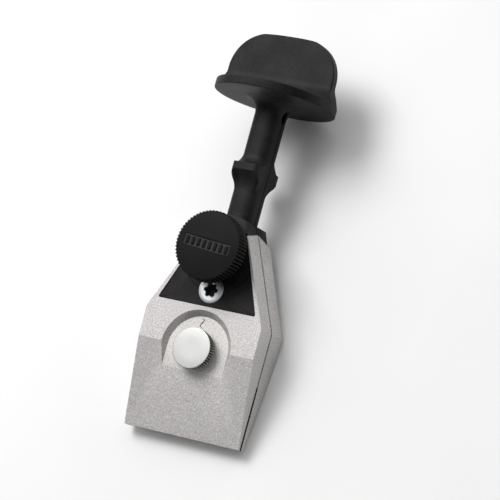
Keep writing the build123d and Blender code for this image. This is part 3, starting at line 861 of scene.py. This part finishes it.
def bar_row():
    """One mesh of all the bars: the same grid at each place along the panel, turned with it."""
    grid = bar_points()
    rows, columns, _ = grid.shape
    at = np.linspace(-1, 1, BAR_COUNT) * (PANEL_HALF[0] - END_MARGIN)
    points = grid[None] + np.stack([at, 0 * at, 0 * at], -1)[:, None, None]
    x, y = points[..., 0].copy(), points[..., 1].copy()
    points[..., 0] = x * math.cos(PANEL_TURN) - y * math.sin(PANEL_TURN)
    points[..., 1] = lock_y + x * math.sin(PANEL_TURN) + y * math.cos(PANEL_TURN)
    first = np.arange(BAR_COUNT) * rows * columns
    quads = (grid_quads(rows, columns)[None] + first[:, None, None]).reshape(-1, 4).tolist()
    ring = np.arange(columns)
    caps = [(start + ring[::-1]).tolist() for start in first]
    caps += [(start + (rows - 1) * columns + ring).tolist() for start in first]
    return new_piece("locking_knob_panel_bars", points, quads + caps, sharp=40)


panel_bars = bar_row()

# %% Plate under the bars
def panel_plate_points():
    """Thin plate over the panel's floor: the panel's outline, drawn in towards the middle."""
    angle = np.linspace(0, 2 * np.pi, LOCK_COLUMNS, endpoint=False)[None, :]
    radius = panel_edge(angle, 0.2) * np.array([[1.0], [1.0], [0.99], [0.6], [0.1]])
    height = PANEL_FLOOR + np.array([-0.1, 0.03, 0.06, 0.06, 0.06])[:, None] + 0 * radius
    return np.stack([radius * np.cos(angle), lock_y + radius * np.sin(angle), height], -1)


panel_plate = loft("locking_knob_panel", panel_plate_points(), sharp=40)

# %% [markdown]
# ## Jaw screws
#
# Each foot is held in its jaw by a countersunk screw with a six-lobed socket. The head is one
# skin: it goes round the cone, over the ring and down into the socket, whose outline is a
# circle with a six-fold ripple.

# %% Countersunk head with a six-lobed socket
HEAD_R = (SCREW_HIGH[0] - SCREW_LOW[0]) / 2
HEAD_Z = SCREW_HIGH[2]
SOCKET_R, LOBE, LOBE_FLAT = 2.35, 0.34, 0.06
SHANK_R = 2.4


def socket_edge(angle, less=0.0):
    """Radius of the socket: six lobes, flatter at their tips than between them."""
    wave = np.cos(6 * angle)
    return SOCKET_R + LOBE * wave - LOBE_FLAT * wave ** 2 - less


def screw_points():
    """Shank, cone and ring as a spun profile, then the socket's lip, wall and floor."""
    columns = 180
    profile = [(1.0, 1.0), (SHANK_R, 1.0), (SHANK_R, 4.2), (3.0, 5.9),
               (HEAD_R - 0.12, HEAD_Z - 0.3), (HEAD_R, HEAD_Z - 0.18),
               (HEAD_R - 0.03, HEAD_Z - 0.06), (HEAD_R - 0.15, HEAD_Z),
               (3.4, HEAD_Z), (2.9, HEAD_Z)]
    body = turned(profile, screw_y, columns)
    angle = np.linspace(0, 2 * np.pi, columns, endpoint=False)[None, :]
    lip = socket_edge(angle, np.array([[-0.12], [0.0], [0.06], [0.08]]))
    floor = socket_edge(angle) * np.array([[0.8], [0.4], [0.1]])
    radius = np.concatenate([lip, floor])
    height = HEAD_Z - np.array([0.0, 0.1, 0.6, 3.3, 3.4, 3.6, 3.65])[:, None] + 0 * radius
    socket = np.stack([radius * np.cos(angle), screw_y + radius * np.sin(angle), height], -1)
    return np.concatenate([body, socket])


screw_skin = screw_points()
front_screw = loft("front_jaw_screw_head", screw_skin, sharp=35)
rear_screw = loft("rear_jaw_screw_head", mirrored(screw_skin), sharp=35)

# %% [markdown]
# ## Threaded screws and hidden fittings
#
# Two screws cross the slit, one to set the opening and one to lock it. Between the jaws, and
# at the back, their threads can be seen. A thread is a cylinder whose radius is a sharp wave
# along its length, and one turn of angle slides that wave by one pitch.

# %% Threads
ROWS_PER_TURN = 10
V_SLOPE = 2.6  # over 2, the thread's crests keep a narrow flat
CHAMFER_LENGTH, CHAMFER_DEPTH = 0.6, 0.5


def threaded(name, node, radius, pitch, depth, low=None):
    """Rod with a V thread: radius falls with the distance from the crest of a triangle wave."""
    bottom, top = span(node)
    middle = (bottom[1] + top[1]) / 2
    start = bottom[2] if low is None else low
    count = int((top[2] - start) / pitch * ROWS_PER_TURN)
    height = np.linspace(start, top[2], count)[:, None]
    angle = np.linspace(0, 2 * np.pi, 48, endpoint=False)[None, :]
    phase = (height / pitch - angle / (2 * np.pi)) % 1
    cut = depth * np.clip(1 - V_SLOPE * np.abs(phase - 0.5), 0, 1)
    chamfer = np.clip(1 - (height - start) / CHAMFER_LENGTH, 0, 1) * CHAMFER_DEPTH
    out = radius - np.maximum(cut, chamfer)
    points = np.stack([out * np.cos(angle), middle + out * np.sin(angle), height + 0 * out], -1)
    return loft(name, points, sharp=50)


ADJUST_ROD_R, ADJUST_PITCH, ADJUST_DEPTH = 2.48, 0.8, 0.45
LOCK_ROD_R, LOCK_PITCH, LOCK_DEPTH = 3.98, 1.25, 0.7
NOSE_TOP = 1.1
adjusting_rod = threaded("adjusting_screw_thread", "adjusting_screw",
                         ADJUST_ROD_R, ADJUST_PITCH, ADJUST_DEPTH)
locking_rod = threaded("locking_screw_thread", "locking_screw",
                       LOCK_ROD_R, LOCK_PITCH, LOCK_DEPTH, low=NOSE_TOP)

# %% Bevelled copies of the hidden fittings
FITTING_BEVEL, BUSH_BEVEL = 0.15, 0.1
saddle = bevelled("adjusting_saddle", FITTING_BEVEL, steel)
nut = bevelled("adjusting_nut", FITTING_BEVEL, steel)
insert = bevelled("locking_insert", BUSH_BEVEL, brass)
shoe = bevelled("locking_shoe", FITTING_BEVEL, steel)
anvil = bevelled("locking_anvil", FITTING_BEVEL, steel)

# %% [markdown]
# ## A direction mark in the dish
#
# A small curved tick beside the adjusting knob tells which way it closes the jaws. It is an
# engraved groove whose shade shows as a thin dark line; here it is a slim, low ridge in a black
# finish, a painted shade.

# %% Direction mark
MARK_CURVE = np.array([[-1.3, 40.2], [1.6, 40.1], [-3.4, 37.6], [-0.1, 36.9]])  # across, reach
MARK_END, MARK_SWELL, MARK_HEIGHT = 0.04, 0.13, 0.12


def mark_points():
    """Tick: a cubic Bezier curve, a width that tapers to both ends and a low round section.

    The section is spread across the curve, at right angles to its direction.
    """
    t = np.linspace(0, 1, 60)[:, None]
    path = ((1 - t) ** 3 * MARK_CURVE[0] + 3 * t * (1 - t) ** 2 * MARK_CURVE[1]
            + 3 * t ** 2 * (1 - t) * MARK_CURVE[2] + t ** 3 * MARK_CURVE[3])
    along = np.gradient(path, axis=0)
    across = np.stack([-along[:, 1], along[:, 0]], -1)
    across = across / np.linalg.norm(along, axis=1, keepdims=True)
    turn = np.linspace(0, 2 * np.pi, 12, endpoint=False)
    wide = MARK_END + MARK_SWELL * np.sin(np.pi * t) ** 0.6
    plan = path[:, None] + across[:, None] * (wide * np.cos(turn))[..., None]
    height = DISH_FLOOR + MARK_HEIGHT * np.sin(turn) * (0.4 + 0.6 * np.sin(np.pi * t))
    return np.stack([plan[..., 0], up(plan[..., 1]), height], -1)


painted_shade_mark = loft("direction_mark_painted_shade", mark_points(), sharp=60)

# %% [markdown]
# ## Handing each piece to its body
#
# Each piece takes its finish, unless its faces already have theirs. It rides on the body that
# carries it in the CAD, and stands for the CAD node that it replaces. The two arms ride on no
# body: each is baked in place, takes the nylon and stands for its CAD arm.

# %% Materials, bodies and replaced nodes
RIDERS = [
    (head, nylon, "head", "handle", ["handle_head"]),
    (front_foot, nylon, "front_arm", "handle", ["front_handle_arm"]),
    (front_wing, nylon, "front_arm", "handle", []),
    (rear_foot, nylon, "rear_arm", "handle", ["rear_handle_arm"]),
    (rear_wing, nylon, "rear_arm", "handle", []),
    (front_jaw, zinc, "front_arm", "zinc", ["front_jaw"]),
    (rear_jaw, zinc, "rear_arm", "zinc", ["rear_jaw"]),
    (front_pad, rubber, "front_arm", "pad", ["front_jaw_pad"]),
    (rear_pad, rubber, "rear_arm", "pad", ["rear_jaw_pad"]),
    (front_screw, plated, "front_arm", "steel", ["front_jaw_screw"]),
    (rear_screw, plated, "rear_arm", "steel", ["rear_jaw_screw"]),
    (adjusting_knob, nickel, "adjusting_knob", "knob_metal", ["adjusting_knob"]),
    (adjusting_rod, steel, "adjusting_knob", "steel", ["adjusting_screw"]),
    (locking_knob, knob_plastic, "locking_knob", "knob_plastic", ["locking_knob"]),
    (panel_bars, knob_plastic, "locking_knob", "knob_plastic", []),
    (panel_plate, satin, "locking_knob", "knob_plastic", []),
    (locking_rod, steel, "locking_knob", "steel", ["locking_screw"]),
    (saddle, steel, "adjusting_saddle", "steel", ["adjusting_saddle"]),
    (nut, steel, "adjusting_nut", "steel", ["adjusting_nut"]),
    (insert, brass, "front_arm", "brass", ["locking_insert"]),
    (shoe, steel, "locking_shoe", "steel", ["locking_shoe"]),
    (anvil, steel, "rear_arm", "steel", ["locking_anvil"]),
    # The tick's black rubber finish is a painted shade for the engraved groove.
    (painted_shade_mark, rubber, "front_arm", "zinc", []),
]
for piece, made, body, slot, stands_for in RIDERS:
    if not piece.data.materials:
        piece.data.materials.append(made)
    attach(piece, body)
    if stands_for:
        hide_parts(*stands_for)

for piece, body, node in [(front_arm, "front_arm", "front_handle_arm"),
                          (rear_arm, "rear_arm", "rear_handle_arm")]:
    piece.data.materials.append(nylon)
    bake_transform(piece)
    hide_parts(node)
print(len(RIDERS) + 2, "pieces placed")

# %% [markdown]
# ## Floor, light and camera
#
# The tool rests on the rim of its disc and the ridge of its rear jaw, so the floor is the
# plane that touches both. A large soft light stands above the handle end and to the left, a
# weak one lights the underside of the disc from below the tips, and a pale world fills the
# shadows, as in a light tent. The tent is brightest past the handle end, so each plane of the
# jaws has a tone of its own.

# %% Floor
RIM_LOW = np.array([0.0, 0.0, -DISC_R])
RIDGE_REACH = 30.0
RIDGE_LOW = np.array([0.0, up(RIDGE_REACH), -8.3])
FLOOR_HALF = 1500
FLOOR_GAP = 0.05  # between the floor and the tool, so that they never cross


def lay_floor():
    """Wide quad through the rim's and the ridge's lowest points, level across the tool."""
    along = RIM_LOW - RIDGE_LOW
    along = along / np.linalg.norm(along)
    corners = np.array([[-1, -1], [1, -1], [1, 1], [-1, 1]]) * FLOOR_HALF
    middle = (RIM_LOW + RIDGE_LOW) / 2
    points = middle + corners[:, :1] * np.array([1.0, 0, 0]) + corners[:, 1:] * along
    points[:, 2] -= FLOOR_GAP
    mesh = bpy.data.meshes.new("pale_floor")
    mesh.from_pydata((points * MM).tolist(), [], [(0, 1, 2, 3)])
    made, tree = material("pale_matt_floor")
    tone = ramp(tree, noise(tree, 60, 2.0), [(0.3, "#f4f4f4"), (0.7, "#f8f8f8")])
    finish(tree, {"Roughness": 0.9}, tone)
    mesh.materials.append(made)
    floor = bpy.data.objects.new("pale_floor", mesh)
    bpy.context.scene.collection.objects.link(floor)
    return floor


lay_floor()

# %% Lights
def soft_light(name, place_at, towards, size, power):
    """Square area light, in millimetres, turned to face a point."""
    data = bpy.data.lights.new(name, "AREA")
    data.shape = "SQUARE"
    data.size = size * MM
    data.energy = power
    light = bpy.data.objects.new(name, data)
    bpy.context.scene.collection.objects.link(light)
    light.location = np.array(place_at) * MM
    aim = Vector((np.array(towards) - np.array(place_at)).tolist())
    light.rotation_euler = aim.to_track_quat("-Z", "Y").to_euler()
    return light


MIDDLE = (0, -55, 0)
HEAD_UNDER = (0, up(125.0), 0)  # just past the underside of the disc
soft_light("softbox_left", (-330, 330, 660), MIDDLE, 420, 4.5)
soft_light("softbox_low", (60, -560, 150), HEAD_UNDER, 260, 0.5)

# %% Light tent
TENT_AXIS = (-0.33, 0.83, 0.45)  # where the tent is brightest
TENT_DIM, TENT_BRIGHT = 0.03, 1.02
COSINE_DIM, COSINE_BRIGHT = -0.1, 0.95


def light_tent():
    """World whose strength rises smoothly with the cosine between a direction and the tent's axis."""
    made = bpy.data.worlds.new("light_tent")
    made.use_nodes = True
    tree = made.node_tree
    tree.nodes.clear()
    towards = add(tree, "ShaderNodeTexCoord").outputs["Generated"]
    cosine = add(tree, "ShaderNodeVectorMath", {"operation": "DOT_PRODUCT", 1: TENT_AXIS},
                 {0: towards})
    strength = add(tree, "ShaderNodeMapRange",
                   {"interpolation_type": "SMOOTHSTEP", "From Min": COSINE_DIM,
                    "From Max": COSINE_BRIGHT, "To Min": TENT_DIM, "To Max": TENT_BRIGHT},
                   {"Value": cosine.outputs["Value"]})
    glow = add(tree, "ShaderNodeBackground", {"Color": linear("#ffffff")},
               {"Strength": strength.outputs[0]})
    add(tree, "ShaderNodeOutputWorld", links={"Surface": glow.outputs[0]})
    return made


bpy.context.scene.world = light_tent()
bpy.context.scene.view_settings.view_transform = "Standard"

# %% Camera
CAMERA_AT = np.array([443.11, -177.81, 818.07])
CAMERA_ROWS = [(0.86738, -0.17185, 0.46704),
               (0.26174, 0.95573, -0.13444),
               (-0.42326, 0.23886, 0.87396)]
lens = bpy.data.cameras.new("long_lens")
lens.sensor_width = 36
lens.lens = 197.72
lens.clip_start = 0.05
lens.clip_end = 20
camera = bpy.data.objects.new("camera", lens)
bpy.context.scene.collection.objects.link(camera)
camera_place = Matrix.Translation(Vector((CAMERA_AT * MM).tolist()))
camera.matrix_world = camera_place @ Matrix(CAMERA_ROWS).to_4x4()
bpy.context.scene.camera = camera

# %% The end
bpy.context.view_layer.update()
